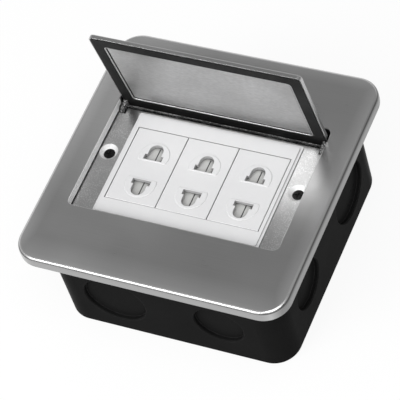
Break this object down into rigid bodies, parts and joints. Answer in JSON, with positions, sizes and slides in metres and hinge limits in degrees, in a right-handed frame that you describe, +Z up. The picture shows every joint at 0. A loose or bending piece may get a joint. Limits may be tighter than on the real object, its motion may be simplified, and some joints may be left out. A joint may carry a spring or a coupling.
{
  "type": "floor socket box",
  "caption": "Flush floor socket box: a brushed stainless cover plate with a hinged gasketed lid over two-pin socket modules, on a frame screwed to a black steel back box.",
  "frame": {"origin": "middle of the back box's flat underside, on the middle lines of the cover plate", "axes": "+Z up out of the floor, +X along the row of modules and the hinge, +Y towards the hinge side"},
  "size_m": [0.12, 0.12, 0.1016],
  "materials": {
    "brushed_stainless": "brushed",
    "satin_stainless": "satin",
    "zinc_steel": "zinc plated",
    "spring_steel": "bright",
    "black_enamel": "satin",
    "black_screw": "black oxide",
    "black_leaf": "black",
    "gasket_rubber": "matt",
    "seal_foam": "matt foam",
    "white_plastic": "satin moulded",
    "housing_plastic": "moulded",
    "shutter_plastic": "moulded",
    "contact_brass": "stamped"
  },
  "bodies": {
    "base": {"back_box": "black_enamel", "box_lugs": "zinc_steel", "frame_screws": "black_screw", "earth_tab": "zinc_steel", "earth_screw": "contact_brass", "cover_plate": "brushed_stainless", "floor_seal": "seal_foam", "mounting_frame": "satin_stainless", "cover_screws": "zinc_steel", "hinge_pins": "zinc_steel", "hinge_washers": "zinc_steel", "module_surround": "white_plastic", "module_face_1": "white_plastic", "module_housing_1": "housing_plastic", "shutter_spring_1": "spring_steel", "line_contact_1": "contact_brass", "neutral_contact_1": "contact_brass", "terminal_screws_1": "zinc_steel", "module_face_2": "white_plastic", "module_housing_2": "housing_plastic", "shutter_spring_2": "spring_steel", "line_contact_2": "contact_brass", "neutral_contact_2": "contact_brass", "terminal_screws_2": "zinc_steel", "module_face_3": "white_plastic", "module_housing_3": "housing_plastic", "shutter_spring_3": "spring_steel", "line_contact_3": "contact_brass", "neutral_contact_3": "contact_brass", "terminal_screws_3": "zinc_steel"},
    "lid": {"lid_plate": "brushed_stainless", "lid_gasket": "gasket_rubber", "lid_inner_panel": "satin_stainless", "hinge_leaf": "black_leaf"},
    "shutter_1": {"shutter_1": "shutter_plastic"},
    "shutter_2": {"shutter_2": "shutter_plastic"},
    "shutter_3": {"shutter_3": "shutter_plastic"}
  },
  "joints": [
    {"name": "lid_hinge", "type": "hinge", "parent": "base", "child": "lid", "pos_m": [0, 0.0238, 0.0483], "axis": [1, 0, 0], "range_deg": [0, 81.5]},
    {"name": "shutter_slide_1", "type": "slide", "parent": "base", "child": "shutter_1", "axis": [-1, 0, 0], "range_m": [0, 0.0066], "stiffness_N_per_m": 150, "springref_m": -0.002, "deforming": ["shutter_spring_1"]},
    {"name": "shutter_slide_2", "type": "slide", "parent": "base", "child": "shutter_2", "axis": [-1, 0, 0], "range_m": [0, 0.0066], "stiffness_N_per_m": 150, "springref_m": -0.002, "deforming": ["shutter_spring_2"]},
    {"name": "shutter_slide_3", "type": "slide", "parent": "base", "child": "shutter_3", "axis": [-1, 0, 0], "range_m": [0, 0.0066], "stiffness_N_per_m": 150, "springref_m": -0.002, "deforming": ["shutter_spring_3"]}
  ]
}
